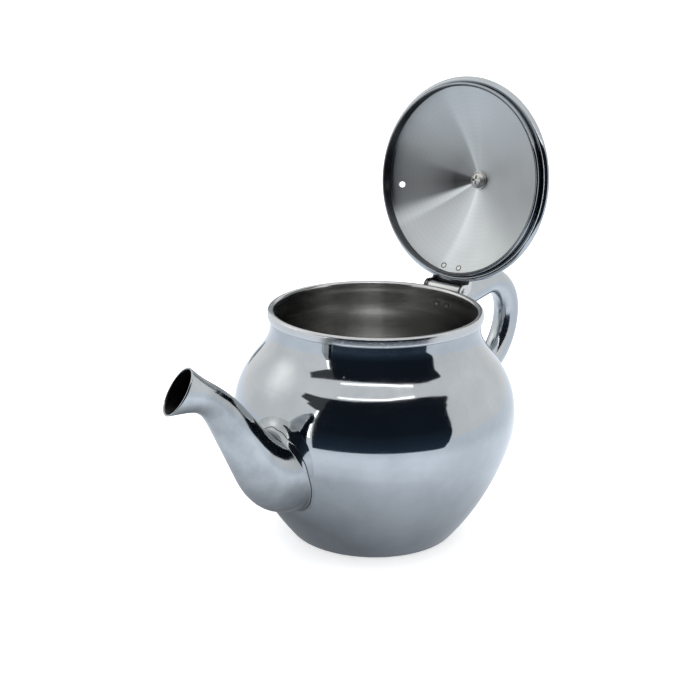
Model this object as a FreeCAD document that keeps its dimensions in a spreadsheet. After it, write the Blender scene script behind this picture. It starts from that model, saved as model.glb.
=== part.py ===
import FreeCAD, Part
import math
import os
import Sketcher
from FreeCAD import Placement, Rotation, Vector

# A one-litre stainless-steel catering teapot with a hinged lid that swings back past upright.
# The origin is the centre of the flat base. +Z is up, the spout points along -X, and the handle
# and the lid hinge are on the +X side. Millimetres and degrees. The lid is drawn closed, in the
# place it has on the pot, and each lid piece is then turned about the hinge pin to stand open.

SIZES = [
    ("wall", 0.8),                 # sheet thickness of the pot and the lid
    ("weld_gap", 0.1),             # how far welded-on pieces stay off the surface they sit on
    ("zero", 0.0),                 # the offset of the pot's own outside from itself
    # pot, outside surface, from the base upwards
    ("base_corner", 2.0),
    ("lower_arc", 128.0),
    ("belly_arc", 43.5),
    ("belly_turn", 16.6),          # angle below the belly's widest line where lower_arc takes over
    ("belly_radius", 66.2),
    ("belly_height", 59.0),
    ("shoulder_arc", 38.5),
    ("neck_arc", 15.0),
    ("neck_radius", 48.8),
    # rolled lip of the pot
    ("lip_radius", 50.0),
    ("lip_inner", 47.1),
    ("lip_roll", 1.45),
    ("lip_bottom", 103.8),
    ("rim_height", 108.3),
    # strainer holes behind the spout
    ("strainer_height", 47.0),
    ("strainer_pitch", 6.0),
    ("strainer_hole", 2.0),
    # hinge
    ("hinge_x", 53.2),
    ("hinge_height", 106.8),
    ("knuckle_radius", 2.7),
    ("knuckle_half", 9.7),
    ("bracket_foot", 97.0),
    ("bracket_front", 46.8),       # drawn this far into the neck and trimmed to it
    ("bracket_shelf", 103.2),      # the bracket's top edge where it passes under the lip
    ("bracket_thick", 4.0),
    ("pin_radius", 1.25),
    ("pin_clearance", 0.05),
    ("pin_fit", 0.01),
    ("pin_head_radius", 2.1),
    ("pin_head_height", 1.0),
    ("ear_inner", 9.9),
    ("ear_outer", 11.1),
    ("ear_radius", 3.6),
    ("strap_sheet", 1.2),
    ("strap_low", 111.2),          # underside of the strap where it bridges the knuckle
    ("strap_rear", 0.45),          # how far short of the pin's centre the strap's sheet ends
    ("strap_front", 36.0),         # where its tongue ends on the lid
    ("strap_front_height", 119.6),
    ("strap_crest", 47.4),         # where the flat sheet turns down on to the dome
    ("strap_under", 49.5),         # the tongue is drawn down to here and trimmed to the dome
    ("strap_under_height", 109.7),
    ("strap_depth", 4.0),
    ("channel_front", 48.4),
    ("channel_back", 59.2),
    ("channel_low", 101.8),
    ("open_angle", 98.0),
    # handle tube
    ("tube_radius", 6.4),
    ("tube_wall", 1.0),
    ("handle_back", 105.7),
    ("handle_bend_height", 85.5),
    ("top_bend", 18.5),
    ("low_bend", 29.0),
    ("arm_rise", 10.0),
    ("leg_fall", 25.0),
    ("arm_root", 46.0),
    ("leg_root", 62.0),
    # spout
    ("spout_wall", 0.9),
    # lid: dome, rolled edge and plug skirt, drawn closed
    ("lid_top", 125.2),
    ("dome_arc", 89.3),
    ("lid_edge", 49.4),
    ("edge_roll", 1.3),
    ("lid_seat", 0.1),             # the closed lid's edge stands this far over the rim
    ("skirt_outer", 46.3),
    ("skirt_bottom", 105.25),
    ("skirt_roll", 0.85),
    ("skirt_top", 111.0),
    ("vent_radius", 1.5),
    ("vent_reach", 40.7),
    ("vent_turn", 79.4),
    # knob and its screw
    ("screw_radius", 2.0),
    ("screw_clearance", 0.05),
    ("screw_hole", 2.2),
    ("screw_head_radius", 4.0),
    ("screw_head_height", 2.4),
    ("recess_depth", 1.5),
    ("recess_long", 2.3),
    ("recess_wide", 0.55),
    ("screw_reach", 9.0),
    ("screw_point", 0.8),
    ("head_edge", 0.96),           # straight side of the pan head under its domed face
    ("washer_radius", 4.5),
    ("washer_sheet", 0.8),
    ("washer_gap", 0.22),          # clears the dome's curved underside at the washer's edge
    ("knob_foot", 5.2),
    ("knob_foot_edge", 1.0),
    ("knob_waist", 3.9),
    ("knob_radius", 11.0),
    ("knob_waist_height", 3.6),
    ("knob_rim_height", 11.5),
    ("knob_height", 17.0),
    ("knob_rim_roll", 1.6),
    ("knob_bore_depth", 10.5),
]

# Spout stations from mouth to root: centre x and z, lean of the section's own upright towards +X,
# half height along that upright, half width across.
SPOUT_STATIONS = [
    ("mouth", -123.3, 98.5, 37.6, 11.0, 5.5),
    ("throat", -113.0, 94.4, 28.0, 7.5, 6.3),
    ("neck", -105.5, 89.6, 39.0, 7.1, 6.7),
    ("upper", -96.2, 79.6, 52.0, 8.8, 8.3),
    ("middle", -87.0, 66.8, 53.0, 10.5, 9.9),
    ("lower", -77.6, 55.6, 44.0, 13.6, 12.6),
    ("flare", -68.0, 48.6, 14.0, 18.8, 15.2),
    ("root", -57.5, 46.5, -12.0, 21.6, 16.6),
]

doc = FreeCAD.newDocument("teapot")
sheet = doc.addObject("Spreadsheet::Sheet", "Sizes")


def fill_sheet():
    """Write every driving size into the sheet as text, with an alias."""
    rows = list(SIZES)
    for name, x, z, lean, half_height, half_width in SPOUT_STATIONS:
        rows += [
            ("spout_" + name + "_x", x),
            ("spout_" + name + "_z", z),
            ("spout_" + name + "_lean", lean),
            ("spout_" + name + "_half_height", half_height),
            ("spout_" + name + "_half_width", half_width),
        ]
    for number, (alias, value) in enumerate(rows, start=1):
        sheet.set("A%d" % number, alias)
        sheet.set("B%d" % number, str(value))
        sheet.setAlias("B%d" % number, alias)
    doc.recompute()


def size(alias):
    return float(sheet.get(alias))


def value(expression):
    return float(sheet.evalExpression(expression))


# ---------------------------------------------------------------- sketches


def new_body(label):
    body = doc.addObject("PartDesign::Body", label)
    body.Label = label
    return body


def new_sketch(body, name, plane, offset=None):
    """A sketch on one of the body's own origin planes, moved by offset in the plane's frame."""
    support = [item for item in body.Origin.OriginFeatures if item.Role == plane][0]
    sketch = body.newObject("Sketcher::SketchObject", body.Name + "_" + name)
    sketch.AttachmentSupport = [(support, "")]
    sketch.MapMode = "FlatFace"
    if offset is not None:
        sketch.AttachmentOffset = offset
    return sketch


def hold(sketch, kind, *where_and_expression):
    """Add a dimension whose last argument is an expression in the sheet's cells."""
    *where, expression = where_and_expression
    start = value(expression)
    if kind == "Angle":
        start = math.radians(start)
    index = sketch.addConstraint(Sketcher.Constraint(kind, *where, start))
    sketch.setExpression("Constraints[%d]" % index, expression)


def hold_point(sketch, piece, end, x=None, y=None):
    """Fix a point's distances from the sketch origin; None leaves one free."""
    if x is not None:
        hold(sketch, "DistanceX", -1, 1, piece, end, x)
    if y is not None:
        hold(sketch, "DistanceY", -1, 1, piece, end, y)


def on_axis(sketch, piece, end):
    sketch.addConstraint(Sketcher.Constraint("PointOnObject", piece, end, -2))


class Chain:
    """Lines and arcs laid end to end, each bound to the one before."""

    def __init__(self, sketch):
        self.sketch = sketch
        self.pieces = []

    def _add(self, geometry, start, end, smooth):
        index = self.sketch.addGeometry(geometry, False)
        if self.pieces:
            last, _, last_end = self.pieces[-1]
            kind = "Tangent" if smooth else "Coincident"
            self.sketch.addConstraint(Sketcher.Constraint(kind, last, last_end, index, start))
        self.pieces.append((index, start, end))
        return index

    def line(self, start, end, direction=None, smooth=False):
        segment = Part.LineSegment(Vector(*start, 0), Vector(*end, 0))
        index = self._add(segment, 1, 2, smooth)
        if direction:
            self.sketch.addConstraint(Sketcher.Constraint(direction, index))
        return index

    def arc(self, centre, radius, start, end, smooth=True):
        """An arc from one angle to the other, in degrees; clockwise when start is the larger."""
        low, high = math.radians(min(start, end)), math.radians(max(start, end))
        circle = Part.Circle(Vector(*centre, 0), Vector(0, 0, 1), radius)
        ends = (1, 2) if start < end else (2, 1)
        return self._add(Part.ArcOfCircle(circle, low, high), *ends, smooth)

    def close(self, smooth=False):
        first, start, _ = self.pieces[0]
        last, _, end = self.pieces[-1]
        kind = "Tangent" if smooth else "Coincident"
        self.sketch.addConstraint(Sketcher.Constraint(kind, last, end, first, start))


def level(sketch, piece, end, other, other_end):
    sketch.addConstraint(Sketcher.Constraint("Horizontal", piece, end, other, other_end))


def plumb(sketch, piece, end, other, other_end):
    sketch.addConstraint(Sketcher.Constraint("Vertical", piece, end, other, other_end))


def turned(body, kind, sketch, axis="V_Axis"):
    """A full turn of the sketch about one of its own axes, added or cut away."""
    feature = body.newObject(kind, sketch.Name + "_turned")
    feature.Profile = sketch
    feature.ReferenceAxis = (sketch, [axis])
    feature.Angle = 360.0
    sketch.Visibility = False
    doc.recompute()
    return feature


def cut_checked(body, make_cut):
    """Run one cutting step and stop if it took nothing away."""
    before = body.Shape.Volume
    make_cut()
    doc.recompute()
    if body.Shape.Volume > before - 0.01:
        raise RuntimeError(body.Label + ": a cut removed nothing")


# ---------------------------------------------------------------- the pot's outline


def belly_arcs(offset):
    """Centres and angles of the pot's tangent arcs, offset outwards by a distance."""
    equator = size("belly_radius") + offset
    height = size("belly_height")
    belly = size("belly_arc") + offset
    lower = size("lower_arc") + offset
    corner = size("base_corner") + min(offset, 0.0)
    floor = max(-offset, 0.0)
    shoulder = size("shoulder_arc") + offset
    neck = size("neck_arc") - offset
    turn = math.radians(size("belly_turn"))
    belly_centre = (equator - belly, height)
    reach = belly - lower
    lower_centre = (belly_centre[0] + reach * math.cos(turn), height - reach * math.sin(turn))
    sink = math.asin((lower_centre[1] - floor - corner) / (lower - corner))
    corner_x = lower_centre[0] + (lower - corner) * math.cos(sink)
    shoulder_centre = (equator - shoulder, height)
    neck_x = size("neck_radius") + offset + neck
    rise = math.acos((neck_x - shoulder_centre[0]) / (shoulder + neck))
    neck_centre = (neck_x, height + (shoulder + neck) * math.sin(rise))
    return {
        "floor": floor,
        "corner": (corner, (corner_x, floor + corner)),
        "lower": (lower, lower_centre),
        "belly": (belly, belly_centre),
        "shoulder": (shoulder, shoulder_centre),
        "neck": (neck, neck_centre),
        "sink": math.degrees(sink),
        "turn": size("belly_turn"),
        "rise": math.degrees(rise),
    }


def lower_outline(sketch, chain, offset_cell, sign):
    """The pot's side from the axis at the base to the neck, as tangent arcs."""
    offset = sign * size(offset_cell)
    arcs = belly_arcs(offset)
    term = " %s Sizes.%s" % ("+" if sign > 0 else "-", offset_cell)
    opposite = " %s Sizes.%s" % ("-" if sign > 0 else "+", offset_cell)
    corner_radius, corner_centre = arcs["corner"]
    base = chain.line((0, arcs["floor"]), (corner_centre[0], arcs["floor"]), "Horizontal")
    on_axis(sketch, base, 1)
    if sign < 0:
        hold(sketch, "DistanceY", -1, 1, base, 1, "Sizes." + offset_cell)
    else:
        sketch.addConstraint(Sketcher.Constraint("PointOnObject", base, 2, -1))
    corner = chain.arc(corner_centre, corner_radius, -90, -arcs["sink"])
    hold(sketch, "Radius", corner, "Sizes.base_corner" + (term if sign < 0 else ""))
    lower = chain.arc(arcs["lower"][1], arcs["lower"][0], -arcs["sink"], -arcs["turn"])
    hold(sketch, "Radius", lower, "Sizes.lower_arc" + term)
    belly = chain.arc(arcs["belly"][1], arcs["belly"][0], -arcs["turn"], 0)
    hold(sketch, "Radius", belly, "Sizes.belly_arc" + term)
    hold_point(sketch, belly, 2, "Sizes.belly_radius" + term, "Sizes.belly_height")
    level(sketch, belly, 3, belly, 2)
    join = "Sizes.belly_height - (Sizes.belly_arc" + term + ") * sin(Sizes.belly_turn)"
    hold_point(sketch, belly, 1, y=join)
    shoulder = chain.arc(arcs["shoulder"][1], arcs["shoulder"][0], 0, arcs["rise"])
    hold(sketch, "Radius", shoulder, "Sizes.shoulder_arc" + term)
    neck_radius, neck_centre = arcs["neck"]
    neck = chain.arc(neck_centre, neck_radius, 180 + arcs["rise"], 180)
    hold(sketch, "Radius", neck, "Sizes.neck_arc" + opposite)
    return neck_centre[1], term


def outside_outline(sketch, gap_cell=None):
    """The pot's whole outside, lip included, closed along the axis."""
    chain = Chain(sketch)
    cell = gap_cell or "zero"
    neck_height, term = lower_outline(sketch, chain, cell, 1)
    gap = size(cell)
    neck_x = size("neck_radius") + gap
    lip_x = size("lip_radius") + gap
    under = size("lip_bottom") - gap
    top = size("rim_height") + gap
    roll = size("lip_roll") + gap
    hem = lip_x - neck_x
    side = chain.line((neck_x, neck_height), (neck_x, under), "Vertical", smooth=True)
    hold_point(sketch, side, 2, "Sizes.neck_radius" + term, "Sizes.lip_bottom - Sizes." + cell)
    hem_arc = chain.arc((neck_x, under + hem), hem, -90, 0, smooth=False)
    plumb(sketch, hem_arc, 3, hem_arc, 1)
    level(sketch, hem_arc, 3, hem_arc, 2)
    face = chain.line((lip_x, under + hem), (lip_x, top - roll), "Vertical")
    hold_point(sketch, face, 2, "Sizes.lip_radius" + term)
    crown = chain.arc((lip_x - roll, top - roll), roll, 0, 90)
    hold(sketch, "Radius", crown, "Sizes.lip_roll" + term)
    cover = chain.line((lip_x - roll, top), (0, top), "Horizontal", smooth=True)
    hold_point(sketch, cover, 2, y="Sizes.rim_height" + term)
    chain.line((0, top), (0, 0), "Vertical")
    chain.close()


def cavity_outline(sketch):
    """The inside of the pot, up past the rim, closed along the axis."""
    chain = Chain(sketch)
    neck_height, term = lower_outline(sketch, chain, "wall", -1)
    wall_x = size("neck_radius") - size("wall")
    lip_x = size("lip_inner")
    roll = size("lip_roll")
    top = size("rim_height")
    hem = size("lip_bottom")
    step = wall_x - lip_x
    side = chain.line((wall_x, neck_height), (wall_x, hem), "Vertical", smooth=True)
    hold_point(sketch, side, 2, "Sizes.neck_radius" + term, "Sizes.lip_bottom")
    ramp = chain.line((wall_x, hem), (lip_x, hem + step))
    hold_point(sketch, ramp, 2, "Sizes.lip_inner",
               "Sizes.lip_bottom + Sizes.neck_radius - Sizes.wall - Sizes.lip_inner")
    chain.line((lip_x, hem + step), (lip_x, top - roll), "Vertical")
    crown = chain.arc((lip_x + roll, top - roll), roll, 180, 90)
    hold(sketch, "Radius", crown, "Sizes.lip_roll")
    plumb(sketch, crown, 3, crown, 1)
    hold_point(sketch, crown, 1, y="Sizes.rim_height")
    above = chain.line((lip_x + roll, top), (lip_x + roll, top + 2), "Vertical")
    hold_point(sketch, above, 2, y="Sizes.rim_height + 2")
    chain.line((lip_x + roll, top + 2), (0, top + 2), "Horizontal")
    chain.line((0, top + 2), (0, size("wall")), "Vertical")
    chain.close()


def clear_of_pot(body):
    """Trim a welded-on piece to the pot's outside."""
    sketch = new_sketch(body, "pot_outside", "XZ_Plane")
    outside_outline(sketch, "weld_gap")
    cut_checked(body, lambda: turned(body, "PartDesign::Groove", sketch))


# ---------------------------------------------------------------- pot


def make_pot_body():
    body = new_body("pot_body")
    outside = new_sketch(body, "outside", "XZ_Plane")
    outside_outline(outside)
    turned(body, "PartDesign::Revolution", outside)
    cavity = new_sketch(body, "cavity", "XZ_Plane")
    cavity_outline(cavity)
    cut_checked(body, lambda: turned(body, "PartDesign::Groove", cavity))
    cut_checked(body, lambda: strainer_holes(body))
    return body


def strainer_holes(body):
    """A hexagonal patch of holes through the wall that the spout covers."""
    sketch = new_sketch(body, "strainer", "YZ_Plane")
    pitch = size("strainer_pitch")
    for row in range(-2, 3):
        count = 5 - abs(row)
        for place in range(count):
            across = "Sizes.strainer_pitch * %.1f" % (place - (count - 1) / 2.0)
            up = "Sizes.strainer_height + Sizes.strainer_pitch * %d * sqrt(3) / 2" % row
            centre = Vector(value(across), value(up), 0)
            circle = Part.Circle(centre, Vector(0, 0, 1), size("strainer_hole"))
            index = sketch.addGeometry(circle, False)
            hold(sketch, "Radius", index, "Sizes.strainer_hole")
            hold(sketch, "DistanceY", -1, 1, index, 3, up)
            if abs(centre.x) < pitch / 10:
                on_axis(sketch, index, 3)
            else:
                hold(sketch, "DistanceX", -1, 1, index, 3, across)
    pocket = body.newObject("PartDesign::Pocket", "strainer_cut")
    pocket.Profile = sketch
    pocket.Type = "ThroughAll"
    doc.recompute()


# ---------------------------------------------------------------- spout


def spout_section(body, name, inset):
    """An elliptical section of the spout, square to its centreline."""
    key = "spout_" + name + "_"
    offset = Placement(Vector(0, size(key + "z"), size(key + "x")),
                       Rotation(Vector(1, 0, 0), size(key + "lean")))
    sketch = new_sketch(body, name + ("_bore" if inset else "_outside"), "YZ_Plane", offset)
    sketch.setExpression("AttachmentOffset.Base.y", "Sizes." + key + "z")
    sketch.setExpression("AttachmentOffset.Base.z", "Sizes." + key + "x")
    tall = "Sizes." + key + "half_height" + (" - Sizes.spout_wall" if inset else "")
    wide = "Sizes." + key + "half_width" + (" - Sizes.spout_wall" if inset else "")
    ellipse = Part.Ellipse(Vector(0, value(tall), 0), Vector(value(wide), 0, 0), Vector(0, 0, 0))
    index = sketch.addGeometry(ellipse, False)
    sketch.exposeInternalGeometry(index)
    sketch.addConstraint(Sketcher.Constraint("Coincident", index, 3, -1, 1))
    sketch.addConstraint(Sketcher.Constraint("Vertical", index + 1))
    hold(sketch, "Distance", index + 1, "2 * (" + tall + ")")
    hold(sketch, "Distance", index + 2, "2 * (" + wide + ")")
    return sketch


def spout_loft(body, kind, inset):
    sections = [spout_section(body, station[0], inset) for station in SPOUT_STATIONS]
    loft = body.newObject(kind, "spout_bore" if inset else "spout_skin")
    loft.Profile = sections[0]
    loft.Sections = sections[1:]
    doc.recompute()


def make_spout():
    body = new_body("spout")
    spout_loft(body, "PartDesign::AdditiveLoft", False)
    cut_checked(body, lambda: spout_loft(body, "PartDesign::SubtractiveLoft", True))
    clear_of_pot(body)
    return body


# ---------------------------------------------------------------- handle


def handle_path(body, name):
    """The handle's centreline: arm out from the neck, two bends, leg back in to the belly."""
    sketch = new_sketch(body, name, "XZ_Plane")
    chain = Chain(sketch)
    back, bend_z = size("handle_back"), size("handle_bend_height")
    top, low = size("top_bend"), size("low_bend")
    rise, fall = math.radians(size("arm_rise")), math.radians(size("leg_fall"))
    top_centre = (back - top, bend_z)
    low_centre = (back - low, bend_z)
    arm_end = (top_centre[0] - top * math.sin(rise), bend_z + top * math.cos(rise))
    run = arm_end[0] - size("arm_root")
    arm_start = (size("arm_root"), arm_end[1] - run * math.tan(rise))
    leg_start = (low_centre[0] + low * math.sin(fall), bend_z - low * math.cos(fall))
    drop = (leg_start[0] - size("leg_root")) * math.tan(fall)
    leg_end = (size("leg_root"), leg_start[1] - drop)
    arm = chain.line(arm_start, arm_end)
    hold_point(sketch, arm, 1, x="Sizes.arm_root")
    hold(sketch, "Angle", arm, "Sizes.arm_rise * 1 deg")
    upper = chain.arc(top_centre, top, 90 + size("arm_rise"), 0)
    hold(sketch, "Radius", upper, "Sizes.top_bend")
    hold_point(sketch, upper, 1, "Sizes.handle_back", "Sizes.handle_bend_height")
    level(sketch, upper, 3, upper, 1)
    lower = chain.arc(low_centre, low, 0, size("leg_fall") - 90)
    hold(sketch, "Radius", lower, "Sizes.low_bend")
    leg = chain.line(leg_start, leg_end, smooth=True)
    hold_point(sketch, leg, 2, x="Sizes.leg_root")
    hold(sketch, "Angle", leg, "Sizes.leg_fall * 1 deg - 180 deg")
    return sketch, arm_start


def tube_ring(body, name, start, radius):
    """A circle square to the start of the handle's centreline."""
    offset = Placement(Vector(0, start[1], start[0]),
                       Rotation(Vector(1, 0, 0), -size("arm_rise")))
    sketch = new_sketch(body, name, "YZ_Plane", offset)
    circle = Part.Circle(Vector(0, 0, 0), Vector(0, 0, 1), value(radius))
    index = sketch.addGeometry(circle, False)
    sketch.addConstraint(Sketcher.Constraint("Coincident", index, 3, -1, 1))
    hold(sketch, "Radius", index, radius)
    return sketch


def handle_sweep(body, kind, name, radius):
    path, start = handle_path(body, name + "_path")
    ring = tube_ring(body, name + "_ring", start, radius)
    pipe = body.newObject(kind, body.Name + "_" + name)
    pipe.Profile = ring
    pipe.Spine = path
    doc.recompute()


def make_handle():
    body = new_body("handle")
    handle_sweep(body, "PartDesign::AdditivePipe", "tube", "Sizes.tube_radius")
    bore = "Sizes.tube_radius - Sizes.tube_wall"
    cut_checked(body, lambda: handle_sweep(body, "PartDesign::SubtractivePipe", "bore", bore))
    clear_of_pot(body)
    return body


# ---------------------------------------------------------------- hinge


def pad_across(body, sketch, half_width):
    """Thicken a side-view sketch equally to both sides of the pot's middle plane."""
    pad = body.newObject("PartDesign::Pad", sketch.Name + "_pad")
    pad.Profile = sketch
    pad.Midplane = True
    pad.Length = 2 * value(half_width)
    pad.setExpression("Length", "2 * " + half_width)
    doc.recompute()
    return pad


def drill_across(body, name, radius):
    """A hole for the hinge pin, right through the piece along Y."""
    sketch = new_sketch(body, name, "XZ_Plane")
    centre = Vector(size("hinge_x"), size("hinge_height"), 0)
    index = sketch.addGeometry(Part.Circle(centre, Vector(0, 0, 1), value(radius)), False)
    hold(sketch, "Radius", index, radius)
    hold_point(sketch, index, 3, "Sizes.hinge_x", "Sizes.hinge_height")
    pocket = body.newObject("PartDesign::Pocket", body.Name + "_" + name)
    pocket.Profile = sketch
    pocket.Type = "ThroughAll"
    pocket.Midplane = True
    doc.recompute()


def make_hinge_bracket():
    """The pot's half of the hinge: a knuckle on two legs that straddle the handle's root."""
    body = new_body("hinge_bracket")
    sketch = new_sketch(body, "side", "XZ_Plane")
    chain = Chain(sketch)
    x, z, r = size("hinge_x"), size("hinge_height"), size("knuckle_radius")
    front, shelf = size("bracket_front"), size("bracket_shelf")
    foot, thick = size("bracket_foot"), size("bracket_thick")
    knuckle = chain.arc((x, z), r, 0, 180)
    hold(sketch, "Radius", knuckle, "Sizes.knuckle_radius")
    hold_point(sketch, knuckle, 3, "Sizes.hinge_x", "Sizes.hinge_height")
    level(sketch, knuckle, 3, knuckle, 1)
    neck = chain.line((x - r, z), (x - r, shelf), "Vertical", smooth=True)
    hold_point(sketch, neck, 2, y="Sizes.bracket_shelf")
    under_lip = chain.line((x - r, shelf), (front, shelf), "Horizontal")
    hold_point(sketch, under_lip, 2, x="Sizes.bracket_front")
    chain.line((front, shelf), (front, foot), "Vertical")
    sole = chain.line((front, foot), (front + thick, foot), "Horizontal")
    hold_point(sketch, sole, 2, "Sizes.bracket_front + Sizes.bracket_thick",
               "Sizes.bracket_foot")
    back = chain.line((front + thick, foot), (x + r, z - r))
    hold_point(sketch, back, 2, y="Sizes.hinge_height - Sizes.knuckle_radius")
    chain.line((x + r, z - r), (x + r, z), "Vertical")
    chain.close()
    pad_across(body, sketch, "Sizes.knuckle_half")
    clear_of_pot(body)
    room = "Sizes.tube_radius + Sizes.weld_gap"
    cut_checked(body, lambda: handle_sweep(body, "PartDesign::SubtractivePipe", "room", room))
    bore = "Sizes.pin_radius + Sizes.pin_clearance"
    cut_checked(body, lambda: drill_across(body, "pin_bore", bore))
    return body


def make_hinge_pin():
    """A plain pin with a domed head peened over at each end, turned about its own axis."""
    body = new_body("hinge_pin")
    offset = Placement(Vector(size("hinge_x"), 0, size("hinge_height")), Rotation())
    sketch = new_sketch(body, "half_section", "XY_Plane", offset)
    chain = Chain(sketch)
    r, head = size("pin_radius"), size("pin_head_radius")
    start = size("ear_outer") + size("pin_fit")
    end = start + size("pin_head_height")
    dome = (head ** 2 + (end - start) ** 2) / (2 * (end - start))
    sweep = math.degrees(math.asin(head / dome))
    low = chain.arc((0, -end + dome), dome, -90, -90 + sweep)
    chain.line((head, -start), (r, -start), "Horizontal")
    shank = chain.line((r, -start), (r, start), "Vertical")
    chain.line((r, start), (head, start), "Horizontal")
    high = chain.arc((0, end - dome), dome, 90 - sweep, 90, smooth=False)
    chain.line((0, end), (0, -end), "Vertical")
    chain.close()
    for arc, tip, rim, sign in ((low, 1, 2, -1), (high, 2, 1, 1)):
        on_axis(sketch, arc, 3)
        hold(sketch, "DistanceX", -1, 1, arc, rim, "Sizes.pin_head_radius")
        place = "(Sizes.ear_outer + Sizes.pin_fit)"
        hold(sketch, "DistanceY", -1, 1, arc, rim, "%d * %s" % (sign, place))
        hold(sketch, "DistanceY", -1, 1, arc, tip,
             "%d * (%s + Sizes.pin_head_height)" % (sign, place))
    on_axis(sketch, low, 1)
    hold_point(sketch, shank, 1, x="Sizes.pin_radius")
    turned(body, "PartDesign::Revolution", sketch)
    return body


def make_lid_strap():
    """The lid's half of the hinge: a channel with two ears, and a tongue welded on the dome."""
    body = new_body("lid_strap")
    sketch = new_sketch(body, "side", "XZ_Plane")
    chain = Chain(sketch)
    x, z, r = size("hinge_x"), size("hinge_height"), size("ear_radius")
    rear, crest = x - size("strap_rear"), size("strap_crest")
    top = size("strap_low") + size("strap_sheet")
    tip, tip_z, depth = size("strap_front"), size("strap_front_height"), size("strap_depth")
    under, under_z = size("strap_under"), size("strap_under_height")
    ear = chain.arc((x, z), r, -180, 0)
    hold(sketch, "Radius", ear, "Sizes.ear_radius")
    hold_point(sketch, ear, 3, "Sizes.hinge_x", "Sizes.hinge_height")
    level(sketch, ear, 3, ear, 2)
    rear_edge = chain.line((x + r, z), (rear, top))
    hold_point(sketch, rear_edge, 2, "Sizes.hinge_x - Sizes.strap_rear",
               "Sizes.strap_low + Sizes.strap_sheet")
    roof = chain.line((rear, top), (crest, top), "Horizontal")
    hold_point(sketch, roof, 2, x="Sizes.strap_crest")
    slope = chain.line((crest, top), (tip, tip_z))
    hold_point(sketch, slope, 2, "Sizes.strap_front", "Sizes.strap_front_height")
    end = chain.line((tip, tip_z), (tip, tip_z - depth), "Vertical")
    hold_point(sketch, end, 2, y="Sizes.strap_front_height - Sizes.strap_depth")
    underside = chain.line((tip, tip_z - depth), (under, under_z))
    hold_point(sketch, underside, 2, "Sizes.strap_under", "Sizes.strap_under_height")
    chain.line((under, under_z), (x - r, z))
    chain.close()
    level(sketch, ear, 3, ear, 1)
    pad_across(body, sketch, "Sizes.ear_outer")
    cut_checked(body, lambda: strap_channel(body))
    trim = new_sketch(body, "dome_outside", "XZ_Plane")
    dome_outline(trim, "Sizes.weld_gap")
    cut_checked(body, lambda: turned(body, "PartDesign::Groove", trim))
    bore = "Sizes.pin_radius + Sizes.pin_fit"
    cut_checked(body, lambda: drill_across(body, "pin_bore", bore))
    return body


def strap_channel(body):
    """Clear the space between the ears, under the strap's sheet."""
    sketch = new_sketch(body, "channel", "XZ_Plane")
    chain = Chain(sketch)
    left, right = size("channel_front"), size("channel_back")
    low, high = size("channel_low"), size("strap_low")
    floor = chain.line((left, low), (right, low), "Horizontal")
    hold_point(sketch, floor, 1, "Sizes.channel_front", "Sizes.channel_low")
    hold_point(sketch, floor, 2, x="Sizes.channel_back")
    chain.line((right, low), (right, high), "Vertical")
    roof = chain.line((right, high), (left, high), "Horizontal")
    hold_point(sketch, roof, 1, y="Sizes.strap_low")
    chain.line((left, high), (left, low), "Vertical")
    chain.close()
    pocket = body.newObject("PartDesign::Pocket", "strap_channel_cut")
    pocket.Profile = sketch
    pocket.Midplane = True
    pocket.Length = 2 * size("ear_inner")
    pocket.setExpression("Length", "2 * Sizes.ear_inner")
    doc.recompute()


# ---------------------------------------------------------------- lid, drawn closed


def dome_outline(sketch, gap="0"):
    """A solid cap with the dome's outside, down to its rolled edge, closed along the axis."""
    chain = Chain(sketch)
    grow = value(gap)
    roll = size("edge_roll") + grow
    edge_centre = (size("lid_edge") - size("edge_roll"),
                   size("rim_height") + size("lid_seat") + size("edge_roll"))
    radius = size("dome_arc") + grow
    centre_z = size("lid_top") - size("dome_arc")
    bottom = edge_centre[1] - roll
    join = dome_edge_join(edge_centre, roll, centre_z, radius)
    join_angle = math.degrees(math.atan2(join[1] - centre_z, join[0]))
    roll_angle = math.degrees(math.atan2(join[1] - edge_centre[1], join[0] - edge_centre[0]))
    dome = chain.arc((0, centre_z), radius, 90, join_angle, smooth=False)
    hold(sketch, "Radius", dome, "Sizes.dome_arc + " + gap)
    on_axis(sketch, dome, 3)
    on_axis(sketch, dome, 2)
    hold_point(sketch, dome, 2, y="Sizes.lid_top + " + gap)
    edge = chain.arc(edge_centre, roll, roll_angle, -90, smooth=False)
    hold(sketch, "Radius", edge, "Sizes.edge_roll + " + gap)
    hold_point(sketch, edge, 3, "Sizes.lid_edge - Sizes.edge_roll",
               "Sizes.rim_height + Sizes.lid_seat + Sizes.edge_roll")
    floor = chain.line((edge_centre[0], bottom), (0, bottom), "Horizontal", smooth=True)
    on_axis(sketch, floor, 2)
    chain.line((0, bottom), (0, size("lid_top") + grow))
    chain.close()


def dome_edge_join(edge_centre, roll, centre_z, radius):
    """Where the dome's arc crosses the outer side of the rolled edge."""
    gap_x, gap_z = edge_centre[0], edge_centre[1] - centre_z
    apart = math.hypot(gap_x, gap_z)
    along = (apart ** 2 + radius ** 2 - roll ** 2) / (2 * apart)
    aside = math.sqrt(max(radius ** 2 - along ** 2, 0.0))
    unit = (gap_x / apart, gap_z / apart)
    return (unit[0] * along + unit[1] * aside,
            centre_z + unit[1] * along - unit[0] * aside)


def make_lid_dome():
    body = new_body("lid_dome")
    outside = new_sketch(body, "outside", "XZ_Plane")
    dome_outline(outside)
    turned(body, "PartDesign::Revolution", outside)
    hollow = new_sketch(body, "hollow", "XZ_Plane")
    hollow_outline(hollow)
    cut_checked(body, lambda: turned(body, "PartDesign::Groove", hollow))
    cut_checked(body, lambda: lid_hole(body, "vent", "Sizes.vent_radius", "Sizes.vent_reach"))
    cut_checked(body, lambda: lid_hole(body, "screw_hole", "Sizes.screw_hole", None))
    return body


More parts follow.
